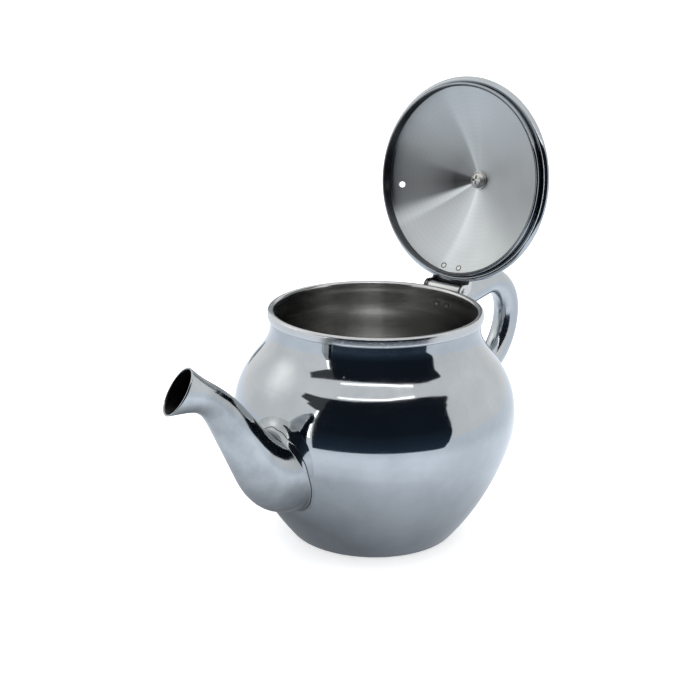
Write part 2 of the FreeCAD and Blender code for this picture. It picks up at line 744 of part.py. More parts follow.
def hollow_outline(sketch):
    """The dome's inside, with a straight side that the plug skirt stands against."""
    chain = Chain(sketch)
    radius = size("dome_arc") - size("wall")
    centre_z = size("lid_top") - size("dome_arc")
    side = size("skirt_outer") + size("lid_seat")
    shoulder = centre_z + math.sqrt(radius ** 2 - side ** 2)
    bottom = size("rim_height") - 1
    dome = chain.arc((0, centre_z), radius, 90,
                     math.degrees(math.atan2(shoulder - centre_z, side)), smooth=False)
    hold(sketch, "Radius", dome, "Sizes.dome_arc - Sizes.wall")
    on_axis(sketch, dome, 3)
    on_axis(sketch, dome, 2)
    hold_point(sketch, dome, 2, y="Sizes.lid_top - Sizes.wall")
    wall = chain.line((side, shoulder), (side, bottom), "Vertical")
    hold_point(sketch, wall, 2, "Sizes.skirt_outer + Sizes.lid_seat", "Sizes.rim_height - 1")
    floor = chain.line((side, bottom), (0, bottom), "Horizontal")
    on_axis(sketch, floor, 2)
    chain.line((0, bottom), (0, size("lid_top") - size("wall")))
    chain.close()


def lid_hole(body, name, radius, reach):
    """A round hole straight down through the dome, on the axis or at the vent's place."""
    sketch = new_sketch(body, name, "XY_Plane")
    turn = math.radians(size("vent_turn"))
    distance = value(reach) if reach else 0.0
    centre = Vector(distance * math.cos(turn), distance * math.sin(turn), 0)
    index = sketch.addGeometry(Part.Circle(centre, Vector(0, 0, 1), value(radius)), False)
    hold(sketch, "Radius", index, radius)
    if reach:
        hold_point(sketch, index, 3, reach + " * cos(Sizes.vent_turn)",
                   reach + " * sin(Sizes.vent_turn)")
    else:
        sketch.addConstraint(Sketcher.Constraint("Coincident", index, 3, -1, 1))
    pocket = body.newObject("PartDesign::Pocket", body.Name + "_" + name)
    pocket.Profile = sketch
    pocket.Type = "ThroughAll"
    pocket.Midplane = True
    doc.recompute()


def make_lid_skirt():
    """The ring that plugs into the pot's mouth, with its lower edge rolled inwards."""
    body = new_body("lid_skirt")
    sketch = new_sketch(body, "section", "XZ_Plane")
    chain = Chain(sketch)
    outer, roll = size("skirt_outer"), size("skirt_roll")
    inner = outer - size("wall")
    top, bottom = size("skirt_top"), size("skirt_bottom")
    centre = (outer - roll, bottom + roll)
    lift = math.degrees(math.acos((inner - centre[0]) / roll))
    outside = chain.line((outer, top), (outer, centre[1]), "Vertical")
    hold_point(sketch, outside, 1, "Sizes.skirt_outer", "Sizes.skirt_top")
    bead = chain.arc(centre, roll, 360, lift, smooth=True)
    hold(sketch, "Radius", bead, "Sizes.skirt_roll")
    hold_point(sketch, bead, 3, y="Sizes.skirt_bottom + Sizes.skirt_roll")
    inside = chain.line((inner, centre[1] + roll * math.sin(math.radians(lift))),
                        (inner, top), "Vertical")
    hold_point(sketch, inside, 2, x="Sizes.skirt_outer - Sizes.wall")
    chain.line((inner, top), (outer, top), "Horizontal")
    chain.close()
    turned(body, "PartDesign::Revolution", sketch)
    return body


def make_lid_knob():
    """A turned mushroom knob with a blind screw hole in its foot."""
    body = new_body("lid_knob")
    sketch = new_sketch(body, "section", "XZ_Plane")
    chain = Chain(sketch)
    base = size("lid_top") + size("weld_gap")
    foot, waist, rim = size("knob_foot"), size("knob_waist"), size("knob_radius")
    waist_z, rim_z = base + size("knob_waist_height"), base + size("knob_rim_height")
    top, roll = base + size("knob_height"), size("knob_rim_roll")
    base_cell = "Sizes.lid_top + Sizes.weld_gap"
    sole = chain.line((0, base), (foot, base), "Horizontal")
    on_axis(sketch, sole, 1)
    hold_point(sketch, sole, 2, "Sizes.knob_foot", base_cell)
    foot_z = base + size("knob_foot_edge")
    edge = chain.line((foot, base), (foot, foot_z), "Vertical")
    hold_point(sketch, edge, 2, y=base_cell + " + Sizes.knob_foot_edge")
    flare_in = chain.line((foot, foot_z), (waist, waist_z))
    hold_point(sketch, flare_in, 2, "Sizes.knob_waist", base_cell + " + Sizes.knob_waist_height")
    flare_out = chain.line((waist, waist_z), (rim - roll, rim_z - roll))
    hold_point(sketch, flare_out, 2, "Sizes.knob_radius - Sizes.knob_rim_roll",
               base_cell + " + Sizes.knob_rim_height - Sizes.knob_rim_roll")
    lip = chain.arc((rim - roll, rim_z), roll, -90, 0, smooth=False)
    plumb(sketch, lip, 3, lip, 1)
    level(sketch, lip, 3, lip, 2)
    hold(sketch, "Radius", lip, "Sizes.knob_rim_roll")
    rise = top - rim_z
    crown_radius = (rim ** 2 + rise ** 2) / (2 * rise)
    crown_start = math.degrees(math.asin((crown_radius - rise) / crown_radius))
    crown = chain.arc((0, top - crown_radius), crown_radius, crown_start, 90, smooth=False)
    on_axis(sketch, crown, 3)
    on_axis(sketch, crown, 2)
    hold_point(sketch, crown, 2, y=base_cell + " + Sizes.knob_height")
    chain.line((0, top), (0, base))
    chain.close()
    turned(body, "PartDesign::Revolution", sketch)
    cut_checked(body, lambda: knob_bore(body))
    return body


def knob_bore(body):
    sketch = new_sketch(body, "bore", "XZ_Plane")
    chain = Chain(sketch)
    base = size("lid_top") - 1
    top = size("lid_top") + size("weld_gap") + size("knob_bore_depth")
    radius = value("Sizes.screw_radius + Sizes.screw_clearance")
    floor = chain.line((0, base), (radius, base), "Horizontal")
    on_axis(sketch, floor, 1)
    hold_point(sketch, floor, 2, "Sizes.screw_radius + Sizes.screw_clearance",
               "Sizes.lid_top - 1")
    side = chain.line((radius, base), (radius, top), "Vertical")
    hold_point(sketch, side, 2, y="Sizes.lid_top + Sizes.weld_gap + Sizes.knob_bore_depth")
    chain.line((radius, top), (0, top), "Horizontal")
    chain.line((0, top), (0, base), "Vertical")
    chain.close()
    turned(body, "PartDesign::Groove", sketch)


def make_knob_washer():
    """A plain washer under the lid, between the dome and the screw's head."""
    washer = doc.addObject("Part::Cut", "knob_washer")
    washer.Label = "knob_washer"
    disc = doc.addObject("Part::Cylinder", "washer_disc")
    hole = doc.addObject("Part::Cylinder", "washer_hole")
    underside = "Sizes.lid_top - Sizes.wall - Sizes.washer_gap - Sizes.washer_sheet"
    disc.setExpression("Radius", "Sizes.washer_radius")
    disc.setExpression("Height", "Sizes.washer_sheet")
    disc.setExpression("Placement.Base.z", underside)
    hole.setExpression("Radius", "Sizes.screw_hole")
    hole.setExpression("Height", "3 * Sizes.washer_sheet")
    hole.setExpression("Placement.Base.z", underside + " - Sizes.washer_sheet")
    washer.Base = disc
    washer.Tool = hole
    doc.recompute()
    return washer


def make_knob_screw():
    """A pan-head screw, head downwards under the lid, with a cross recess."""
    body = new_body("knob_screw")
    sketch = new_sketch(body, "section", "XZ_Plane")
    chain = Chain(sketch)
    seat_cell = ("Sizes.lid_top - Sizes.wall - Sizes.washer_gap - Sizes.washer_sheet"
                 " - Sizes.screw_clearance")
    seat = value(seat_cell)
    head, tall = size("screw_head_radius"), size("screw_head_height")
    shank = size("screw_radius")
    tip = size("lid_top") + size("screw_reach")
    rim, point = size("head_edge"), size("screw_point")
    crown = (head ** 2 + (tall - rim) ** 2) / (2 * (tall - rim))
    crown_start = math.degrees(math.asin((crown - tall + rim) / crown))
    pan = chain.arc((0, seat - tall + crown), crown, -90, -crown_start, smooth=False)
    on_axis(sketch, pan, 3)
    on_axis(sketch, pan, 1)
    hold_point(sketch, pan, 1, y=seat_cell + " - Sizes.screw_head_height")
    side = chain.line((head, seat - rim), (head, seat), "Vertical")
    hold_point(sketch, side, 1, "Sizes.screw_head_radius", seat_cell + " - Sizes.head_edge")
    hold_point(sketch, side, 2, y=seat_cell)
    bearing = chain.line((head, seat), (shank, seat), "Horizontal")
    hold_point(sketch, bearing, 2, x="Sizes.screw_radius")
    shank_side = chain.line((shank, seat), (shank, tip - point), "Vertical")
    hold_point(sketch, shank_side, 2,
               y="Sizes.lid_top + Sizes.screw_reach - Sizes.screw_point")
    chamfer = chain.line((shank, tip - point), (shank - point, tip))
    hold_point(sketch, chamfer, 2, "Sizes.screw_radius - Sizes.screw_point",
               "Sizes.lid_top + Sizes.screw_reach")
    end = chain.line((shank - point, tip), (0, tip), "Horizontal")
    on_axis(sketch, end, 2)
    chain.line((0, tip), (0, seat - tall))
    chain.close()
    turned(body, "PartDesign::Revolution", sketch)
    cut_checked(body, lambda: cross_recess(body, seat - tall))
    return body


def cross_recess(body, face_height):
    """Two crossed slots in the screw's head, as one twelve-sided outline."""
    offset = Placement(Vector(0, 0, face_height), Rotation())
    sketch = new_sketch(body, "recess", "XY_Plane", offset)
    chain = Chain(sketch)
    corners = []
    for quarter in range(4):
        for x, y in (("long", "-wide"), ("long", "wide"), ("wide", "wide")):
            corners.append(quarter_turned(x, y, quarter))
    for start, end in zip(corners, corners[1:] + corners[:1]):
        piece = chain.line(corner_point(start), corner_point(end))
        hold_point(sketch, piece, 1, recess_cell(start[0]), recess_cell(start[1]))
    chain.close()
    pocket = body.newObject("PartDesign::Pocket", "recess_cut")
    pocket.Profile = sketch
    pocket.Reversed = True
    pocket.Length = size("recess_depth")
    pocket.setExpression("Length", "Sizes.recess_depth")
    doc.recompute()


def quarter_turned(x, y, quarters):
    """A corner's two size names, turned about the origin by whole quarter turns."""
    for _ in range(quarters):
        x, y = (y[1:] if y.startswith("-") else "-" + y), x
    return x, y


def recess_cell(name):
    return name.replace("long", "Sizes.recess_long").replace("wide", "Sizes.recess_wide")


def corner_point(corner):
    return tuple(value(recess_cell(name)) for name in corner)


# ---------------------------------------------------------------- assembly and files


def stand_open(piece):
    """Turn a lid piece from closed to open about the hinge pin."""
    pivot = Vector(size("hinge_x"), 0, size("hinge_height"))
    turn = Rotation(Vector(0, 1, 0), size("open_angle"))
    piece.Placement = Placement(pivot - turn.multVec(pivot), turn)


def check_document():
    for item in doc.Objects:
        if "Invalid" in item.State or "Error" in item.State:
            raise RuntimeError(item.Name + " did not recompute: " + str(item.State))


def write_steps(pieces):
    os.makedirs("parts", exist_ok=True)
    for piece in pieces:
        shape = piece.Shape
        if shape.isNull() or not shape.isValid() or len(shape.Solids) != 1:
            raise RuntimeError(piece.Label + " is not one valid solid")
        shape.exportStep("parts/" + piece.Label + ".step")
        print("%-14s %9.1f mm3" % (piece.Label, shape.Volume))


fill_sheet()
pot_pieces = [make_pot_body(), make_spout(), make_handle(), make_hinge_bracket()]
lid_pieces = [
    make_lid_dome(),
    make_lid_skirt(),
    make_lid_strap(),
    make_hinge_pin(),
    make_lid_knob(),
    make_knob_washer(),
    make_knob_screw(),
]
for lid_piece in lid_pieces:
    stand_open(lid_piece)
doc.recompute()
check_document()
write_steps(pot_pieces + lid_pieces)
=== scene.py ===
import math

import bmesh
import bpy
import numpy as np
from mathutils import Matrix, Vector


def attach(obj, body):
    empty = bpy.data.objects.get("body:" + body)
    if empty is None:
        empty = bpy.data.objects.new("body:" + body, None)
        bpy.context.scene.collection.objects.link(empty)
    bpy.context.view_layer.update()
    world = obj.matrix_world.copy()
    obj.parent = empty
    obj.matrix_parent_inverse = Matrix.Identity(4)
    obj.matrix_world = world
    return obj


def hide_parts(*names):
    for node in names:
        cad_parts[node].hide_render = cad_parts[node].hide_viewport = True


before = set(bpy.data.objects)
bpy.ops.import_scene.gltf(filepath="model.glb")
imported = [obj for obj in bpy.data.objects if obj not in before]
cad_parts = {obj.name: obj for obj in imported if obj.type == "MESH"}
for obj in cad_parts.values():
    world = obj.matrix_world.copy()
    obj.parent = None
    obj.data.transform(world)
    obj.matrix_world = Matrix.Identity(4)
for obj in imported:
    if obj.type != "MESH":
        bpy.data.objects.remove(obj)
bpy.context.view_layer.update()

# The looks of a stainless-steel teapot with its lid standing open. Meshes are drawn in
# millimetres in the model's own frame (base on z = 0, spout along -X, hinge pin along Y) and
# scaled to metres. Lid pieces are drawn closed and then turned open about the hinge pin.

MM = 0.001
AROUND = 288                   # steps round the pot and the lid
HINGE = (53.2, 106.8)          # the pin's x and z
OPEN = 98.0                    # degrees from closed to the pose in the frame
WALL = 0.8                     # the pot's and the lid's sheet
NECK = 48.8                    # the neck's outside radius
HEM_LOW, HEM_TOP = 103.8, 108.3
SHOULDER = 80.0                # height where the shoulder's arc turns into the neck
DOME = 89.3                    # the lid's outside radius of curvature
DOME_TOP = 125.2
DOME_CENTRE = DOME_TOP - DOME
LID_INSIDE = 46.4              # radius of the wall inside the lid's edge


# ---------------------------------------------------------------- outlines


def arc(centre, radius, start, end, step=2.0):
    """Points on an arc from one angle to the other, in degrees."""
    count = max(3, int(abs(end - start) / step) + 2)
    angle = np.radians(np.linspace(start, end, count))
    return np.column_stack([centre[0] + radius * np.cos(angle),
                            centre[1] + radius * np.sin(angle)])


def line(start, end, steps=1):
    share = np.linspace(0, 1, steps + 1)[:, None]
    return np.array(start) * (1 - share) + np.array(end) * share


def chain(*parts):
    """Joins point lists and drops repeated points."""
    points = np.vstack(parts)
    gap = np.linalg.norm(np.diff(points, axis=0), axis=1)
    return points[np.concatenate([[True], gap > 1e-4])]


def pot_side():
    """The pot's side from the base's corner to the bottom of the lip."""
    widest, shoulder = 59.0, 38.5
    belly_centre, shoulder_centre = (22.7, widest), (27.7, widest)
    lower_centre, corner_centre = (-58.28, 83.14), (38.11, 2.0)
    lower_start, belly_start = -40.09, -16.6
    turn = math.degrees(math.asin((SHOULDER - widest) / shoulder))
    # above the shoulder the wall's lean grows to its most and then dies away up the neck
    most, most_at, straight = 41.2, 85.4, 100.6
    height = np.linspace(SHOULDER, straight, 60)
    rising = np.clip((height - SHOULDER) / (most_at - SHOULDER), 0, 1)
    falling = (height - most_at) / (straight - most_at)
    lean = np.where(height < most_at, turn + (most - turn) * (1.5 * rising - 0.5 * rising ** 3),
                    most * np.cos(math.pi / 2 * falling))
    slope = np.tan(np.radians(lean))
    inward = np.concatenate([[0], np.cumsum((slope[1:] + slope[:-1]) / 2 * np.diff(height))])
    start = shoulder_centre[0] + shoulder * math.cos(math.radians(turn))
    neck = np.column_stack([start - (start - NECK) * inward / inward[-1], height])
    return chain(
        arc(corner_centre, 2.0, -90, lower_start, 6),
        arc(lower_centre, 128.0, lower_start, belly_start, 0.5),
        arc(belly_centre, 43.5, belly_start, 0, 1),
        arc(shoulder_centre, shoulder, 0, turn, 1),
        neck,
        line((NECK, straight), (NECK, HEM_LOW), 4),
    )


def inset(outline, wall):
    """The outline moved inwards by the wall's thickness."""
    along = np.gradient(outline, axis=0)
    along /= np.linalg.norm(along, axis=1, keepdims=True)
    return outline + wall * np.column_stack([-along[:, 1], along[:, 0]])


OUTSIDE = pot_side()


def pot_radius(height):
    return np.interp(height, OUTSIDE[:, 1], OUTSIDE[:, 0])


# ---------------------------------------------------------------- meshes


def add_mesh(name, points, faces, materials, indices=None, sharp=32.0):
    mesh = bpy.data.meshes.new(name)
    mesh.from_pydata((np.asarray(points) * MM).tolist(), [], faces)
    for material in materials:
        mesh.materials.append(material)
    if indices is not None:
        mesh.polygons.foreach_set("material_index", indices)
    mesh.shade_smooth()
    mesh.set_sharp_from_angle(angle=math.radians(sharp))
    piece = bpy.data.objects.new(name, mesh)
    bpy.context.scene.collection.objects.link(piece)
    return piece


def lathe(name, outline, materials, pick=None, around=AROUND, sharp=32.0):
    """A turned piece from (radius, z) points; pick gives each step's material number."""
    angle = np.linspace(0, 2 * math.pi, around, endpoint=False)
    points, rings = [], []
    for radius, height in outline:
        if radius < 1e-6:
            rings.append([len(points)] * around)
            points.append((0.0, 0.0, height))
        else:
            rings.append(list(range(len(points), len(points) + around)))
            points += list(zip(radius * np.cos(angle), radius * np.sin(angle),
                               np.full(around, height)))
    faces, indices = [], []
    for step, (low, high) in enumerate(zip(rings[:-1], rings[1:])):
        for j in range(around):
            k = (j + 1) % around
            face = [low[j], low[k], high[k], high[j]]
            if low[j] == low[k]:
                face = [low[j], high[k], high[j]]
            elif high[j] == high[k]:
                face = [low[j], low[k], high[j]]
            faces.append(face)
            indices.append(pick[step] if pick is not None else 0)
    return add_mesh(name, points, faces, materials, indices, sharp)


def skin(name, rings, materials, pick=None, caps=False, sharp=32.0):
    """A tube through rings of points, each ring closed on itself."""
    rings = np.asarray(rings)
    count, around = rings.shape[:2]
    faces, indices = [], []
    for i in range(count - 1):
        for j in range(around):
            k = (j + 1) % around
            faces.append([i * around + j, i * around + k,
                          (i + 1) * around + k, (i + 1) * around + j])
            indices.append(pick[i] if pick is not None else 0)
    if caps:
        faces.append(list(range(around))[::-1])
        faces.append([(count - 1) * around + j for j in range(around)])
        indices += [0, 0]
    return add_mesh(name, rings.reshape(-1, 3), faces, materials, indices, sharp)


def applied(piece):
    """Bakes a piece's modifiers into its mesh."""
    graph = bpy.context.evaluated_depsgraph_get()
    graph.update()
    mesh = bpy.data.meshes.new_from_object(piece.evaluated_get(graph))
    piece.modifiers.clear()
    piece.data = mesh
    return piece


def drilled(piece, holes):
    """Cuts round holes, each (start, end, radius) in mm, right through a piece."""
    cutter = bmesh.new()
    for start, end, radius in holes:
        start, end = Vector(start), Vector(end)
        turn = (end - start).to_track_quat("Z", "Y").to_matrix().to_4x4()
        place = Matrix.Translation((start + end) / 2 * MM) @ turn
        bmesh.ops.create_cone(cutter, cap_ends=True, segments=40, radius1=radius * MM,
                              radius2=radius * MM, depth=(end - start).length * MM,
                              matrix=place)
    mesh = bpy.data.meshes.new("cutter")
    cutter.to_mesh(mesh)
    cutter.free()
    tool = bpy.data.objects.new("cutter", mesh)
    bpy.context.scene.collection.objects.link(tool)
    cut = piece.modifiers.new("holes", "BOOLEAN")
    cut.object = tool
    cut.operation = "DIFFERENCE"
    cut.solver = "EXACT"
    applied(piece)
    bpy.data.objects.remove(tool)
    piece.data.set_sharp_from_angle(angle=math.radians(32))
    return piece


def spline(knots, values, at):
    """The natural cubic spline through values at the knots, read at the given places."""
    knots, values = np.asarray(knots, float), np.asarray(values, float)
    count = len(knots)
    gap = np.diff(knots)
    matrix, right = np.eye(count), np.zeros(count)
    for i in range(1, count - 1):
        matrix[i, i - 1], matrix[i, i + 1] = gap[i - 1], gap[i]
        matrix[i, i] = 2 * (gap[i - 1] + gap[i])
        right[i] = 6 * ((values[i + 1] - values[i]) / gap[i]
                        - (values[i] - values[i - 1]) / gap[i - 1])
    bend = np.linalg.solve(matrix, right)
    i = np.clip(np.searchsorted(knots, at) - 1, 0, count - 2)
    h, a, b = gap[i], knots[i + 1] - at, at - knots[i]
    return ((bend[i] * a ** 3 + bend[i + 1] * b ** 3) / (6 * h)
            + (values[i] / h - bend[i] * h / 6) * a
            + (values[i + 1] / h - bend[i + 1] * h / 6) * b)


def stand_open(piece):
    """Turns a lid piece from closed to open about the hinge pin."""
    pivot = Vector((HINGE[0], 0, HINGE[1])) * MM
    piece.matrix_world = (Matrix.Translation(pivot)
                          @ Matrix.Rotation(math.radians(OPEN), 4, "Y")
                          @ Matrix.Translation(-pivot) @ piece.matrix_world)


# ---------------------------------------------------------------- materials


def ramp(nodes, value, links, stops):
    """Greys or colours along a value, from (place, colour) stops."""
    made = nodes.new("ShaderNodeValToRGB")
    links.new(value, made.inputs["Fac"])
    points = made.color_ramp.elements
    points[0].position, points[1].position = stops[0][0], stops[-1][0]
    points[0].color, points[1].color = (*stops[0][1], 1), (*stops[-1][1], 1)
    for place, colour in stops[1:-1]:
        points.new(place).color = (*colour, 1)
    return made.outputs["Color"]


class Material:
    """A node material under construction, with short helpers for its nodes."""

    def __init__(self, name):
        self.data = bpy.data.materials.new(name)
        self.data.use_nodes = True
        self.nodes = self.data.node_tree.nodes
        self.links = self.data.node_tree.links
        self.shader = self.nodes["Principled BSDF"]

    def node(self, kind, **values):
        made = self.nodes.new(kind)
        for key, setting in values.items():
            setattr(made, key, setting)
        return made

    def put(self, target, source):
        self.links.new(source, target)

    def object_space(self):
        return self.node("ShaderNodeTexCoord").outputs["Object"]

    def noise(self, scale, detail=4.0, rough=0.55, stretch=None):
        """A noise value in object space; stretch scales each axis first."""
        place = self.object_space()
        if stretch:
            mapping = self.node("ShaderNodeMapping")
            mapping.inputs["Scale"].default_value = stretch
            self.put(mapping.inputs["Vector"], place)
            place = mapping.outputs["Vector"]
        made = self.node("ShaderNodeTexNoise")
        made.inputs["Scale"].default_value = scale
        made.inputs["Detail"].default_value = detail
        made.inputs["Roughness"].default_value = rough
        self.put(made.inputs["Vector"], place)
        return made.outputs["Fac"]

    def spread(self, value, low, high, to_low, to_high):
        made = self.node("ShaderNodeMapRange")
        for key, number in (("From Min", low), ("From Max", high),
                            ("To Min", to_low), ("To Max", to_high)):
            made.inputs[key].default_value = number
        self.put(made.inputs["Value"], value)
        return made.outputs["Result"]

    def blend(self, value, low, high):
        """Two colours mixed by a value."""
        made = self.node("ShaderNodeMix", data_type="RGBA")
        made.inputs["A"].default_value = (*low, 1)
        made.inputs["B"].default_value = (*high, 1)
        self.put(made.inputs["Factor"], value)
        return made.outputs["Result"]

    def add(self, first, second, weight=1.0):
        made = self.node("ShaderNodeMath", operation="MULTIPLY_ADD")
        self.put(made.inputs[0], second)
        made.inputs[1].default_value = weight
        self.put(made.inputs[2], first)
        return made.outputs[0]

    def bump(self, height, distance, strength=1.0, below=None):
        made = self.node("ShaderNodeBump")
        made.inputs["Strength"].default_value = strength
        made.inputs["Distance"].default_value = distance
        self.put(made.inputs["Height"], height)
        if below is not None:
            self.put(made.inputs["Normal"], below)
        return made.outputs["Normal"]

    def metal(self, colour, roughness, normal=None, anisotropy=0.0):
        shader = self.shader
        shader.inputs["Metallic"].default_value = 1.0
        shader.inputs["Anisotropic"].default_value = anisotropy
        self.put(shader.inputs["Base Color"], colour)
        self.put(shader.inputs["Roughness"], roughness)
        if normal is not None:
            self.put(shader.inputs["Normal"], normal)
        return self.data

    def times(self, colour, factor):
        made = self.node("ShaderNodeVectorMath", operation="SCALE")
        self.put(made.inputs[0], colour)
        self.put(made.inputs["Scale"], factor)
        return made.outputs["Vector"]

    def place(self):
        """The x, y and z of a point in object space, as separate values."""
        parts = self.node("ShaderNodeSeparateXYZ")
        self.put(parts.inputs[0], self.object_space())
        return parts.outputs

    def around(self, stops):
        """Greys by the angle round the piece's Z axis, from (degrees, brightness) stops; used for painted
        light.
        """
        place = self.place()
        angle = self.node("ShaderNodeMath", operation="ARCTAN2")
        self.put(angle.inputs[0], place["Y"])
        self.put(angle.inputs[1], place["X"])
        turn = self.spread(angle.outputs[0], -math.pi, math.pi, 0, 1)
        return ramp(self.nodes, turn, self.links, [
            ((degrees + 180) / 360, (painted_tone * 0.95, painted_tone, painted_tone * 1.02)) for degrees, painted_tone in stops])

    def rings(self, scale, distortion=0.0):
        """Fine turning marks: rings round the piece's own Z axis."""
        made = self.node("ShaderNodeTexWave", wave_type="RINGS", rings_direction="Z")
        made.inputs["Scale"].default_value = scale
        made.inputs["Distortion"].default_value = distortion
        made.inputs["Detail"].default_value = 2.0
        self.put(made.inputs["Vector"], self.object_space())
        return made.outputs["Fac"]

    def stretch_highlights(self):
        """Lays the anisotropy along the rings round the piece's Z axis."""
        tangent = self.node("ShaderNodeTangent", direction_type="RADIAL", axis="Z")
        self.put(self.shader.inputs["Tangent"], tangent.outputs["Tangent"])
        self.shader.inputs["Anisotropic Rotation"].default_value = 0.25


def polished_steel(name, low=(0.405, 0.432, 0.455), high=(0.475, 0.505, 0.53), rough=0.04,
                   wave=0.00012, ripple=22):
    """Mirror-polished stainless steel, faintly hazed and wavy, with a few pits and specks."""
    m = Material(name)
    haze = m.noise(38, 5, 0.6)
    colour = m.blend(m.spread(haze, 0.35, 0.65, 0, 1), low, high)
    base = m.spread(m.noise(120, 6, 0.65), 0.3, 0.75, rough, rough + 0.06)
    cells = m.node("ShaderNodeTexVoronoi")
    cells.inputs["Scale"].default_value = 130.0
    m.put(cells.inputs["Vector"], m.object_space())
    chance = m.node("ShaderNodeSeparateColor")
    m.put(chance.inputs[0], cells.outputs["Color"])
    dot = m.spread(cells.outputs["Distance"], 0.04, 0.075, 1, 0)
    rare = m.spread(chance.outputs[0], 0.86, 0.88, 0, 0.55)
    speck = m.node("ShaderNodeMath", operation="MULTIPLY")
    m.put(speck.inputs[0], dot)
    m.put(speck.inputs[1], rare)
    roughness = m.add(base, speck.outputs[0])
    soft = m.bump(m.noise(ripple, 2, 0.4), wave)
    scratch = m.bump(m.noise(900, 3, 0.6, (1, 1, 0.08)), 0.000004, 1.0, soft)
    return m.metal(colour, roughness, scratch)


def satin_steel(name, low, high, rough, stretch=(1, 1, 14), ridge=0.000005):
    """Drawn or sanded stainless steel with fine lines along one direction."""
    m = Material(name)
    lines = m.noise(420, 3, 0.6, stretch)
    patch = m.noise(30, 4, 0.6)
    colour = m.blend(m.spread(m.add(lines, patch, 0.6), 0.5, 1.1, 0, 1), low, high)
    roughness = m.spread(lines, 0.3, 0.7, rough, rough + 0.1)
    return m.metal(colour, roughness, m.bump(lines, ridge))


def turned_steel(name, low, high, rough, anisotropy, scale=260.0, ridge=0.0000006, painted_bands=None):
    """Steel finished on a lathe: rings round the piece's Z axis that stretch highlights. The
    upright stripes it may be given are painted reflections, brighter and darker by the angle round
    the wall, which fade out towards the bottom to a plain 0.8 of the colour."""
    m = Material(name)
    fade_low, fade_top = 0.06, 0.085
    rings = m.rings(scale, 0.0)
    patch = m.noise(30, 4, 0.6)
    colour = m.blend(m.spread(m.add(patch, rings, 0.06), 0.3, 0.8, 0, 1), low, high)
    # painted reflections: the colour is scaled by greys set by the angle round the wall
    if painted_bands:
        fade = m.node("ShaderNodeMix", data_type="RGBA")
        fade.inputs["A"].default_value = (0.8, 0.8, 0.8, 1)
        m.put(fade.inputs["B"], m.around(painted_bands))
        m.put(fade.inputs["Factor"], m.spread(m.place()["Z"], fade_low, fade_top, 0, 1))
        colour = m.times(colour, fade.outputs["Result"])
    roughness = m.spread(rings, 0, 1, rough, rough + 0.04)
    m.stretch_highlights()
    return m.metal(colour, roughness, m.bump(rings, ridge), anisotropy)


def lid_underside():
    """Brushed in circles and crossed by rings, with painted highlights and painted shade: rays and sectors
    of brightness round the lid.
    """
    m = Material("lid_underside")
    # painted highlights and painted shade: greys by the angle round the lid, one set near the centre
    near = m.around(
        ((-180, 0.44), (-120, 0.4), (-85, 0.45), (-60, 0.44), (-30, 0.5), (-8, 0.62), (9, 0.82),
         (14, 0.66), (30, 0.59), (51, 0.54), (55, 0.92), (61, 0.88), (67, 0.1), (80, 0.06),
         (95, 0.09), (103, 0.25), (125, 0.27), (150, 0.36), (156, 0.6), (168, 0.47)))
    # and one set further out, also painted highlights and painted shade
    far = m.around(
        ((-180, 0.57), (-120, 0.6), (-85, 0.5), (-30, 0.65), (-8, 0.66), (9, 0.76), (14, 0.63),
         (30, 0.6), (51, 0.68), (55, 0.8), (61, 0.78), (67, 0.6), (80, 0.56), (95, 0.6),
         (103, 0.62), (125, 0.62), (156, 0.66), (168, 0.56)))
    # the painted highlight and shade tones near the centre give way to those further out
    near_end, far_start = 0.014, 0.044
    reach = m.node("ShaderNodeVectorMath", operation="LENGTH")
    flat = m.node("ShaderNodeVectorMath", operation="MULTIPLY")
    m.put(flat.inputs[0], m.object_space())
    flat.inputs[1].default_value = (1, 1, 0)
    m.put(reach.inputs[0], flat.outputs[0])
    mix = m.node("ShaderNodeMix", data_type="RGBA")
    m.put(mix.inputs["Factor"], m.spread(reach.outputs["Value"], near_end, far_start, 0, 1))
    m.put(mix.inputs["A"], near)
    m.put(mix.inputs["B"], far)
    painted_tone = mix.outputs["Result"]
    rings = m.rings(150.0, 0.4)
    fine = m.rings(420.0, 0.2)
    marks = m.spread(m.add(m.spread(rings, 0, 1, 0, 0.5), fine, 0.5), 0, 1, 0.965, 1.02)
    m.stretch_highlights()
    roughness = m.spread(m.noise(60, 3, 0.5), 0.3, 0.7, 0.34, 0.4)
    return m.metal(m.times(painted_tone, marks), roughness, m.bump(fine, 0.000001), 0.9)


steel = polished_steel("polished_steel")
spout_polish = polished_steel("spout_polish", (0.3, 0.32, 0.335), (0.47, 0.5, 0.52), 0.07,
                              0.0005, 48)
# the inside carries painted reflections: upright stripes brighter and darker round the wall
inner_steel = turned_steel("inner_satin", (0.6, 0.6, 0.59), (0.7, 0.7, 0.69), 0.22, 0.8, painted_bands=(
    (-180, 0.9), (-110, 1.0), (-60, 0.9), (-12, 0.9), (10, 0.95), (27, 0.8), (34, 1.0), (38, 1.4),
    (44, 1.4), (49, 1.1), (56, 0.85), (68, 1.15), (83, 0.75), (100, 0.6), (140, 0.9), (180, 0.9)))
# steel darkened to near black for the spout's bore: painted shade inside the tube
painted_shade_bore = satin_steel("bore_painted_shade", (0.16, 0.15, 0.15), (0.26, 0.26, 0.26), 0.3)
lip_steel = satin_steel("lip_satin", (0.5, 0.51, 0.52), (0.6, 0.61, 0.62), 0.18, (1, 1, 6), 0.0000004)
handle_polish = polished_steel("handle_polish", rough=0.1, wave=0.0003, ripple=40)
# near-black steel for the strap's faces towards the spout: painted shade
painted_shade_strap = satin_steel("strap_painted_shade", (0.05, 0.05, 0.052), (0.13, 0.13, 0.135), 0.3, (1, 8, 1))
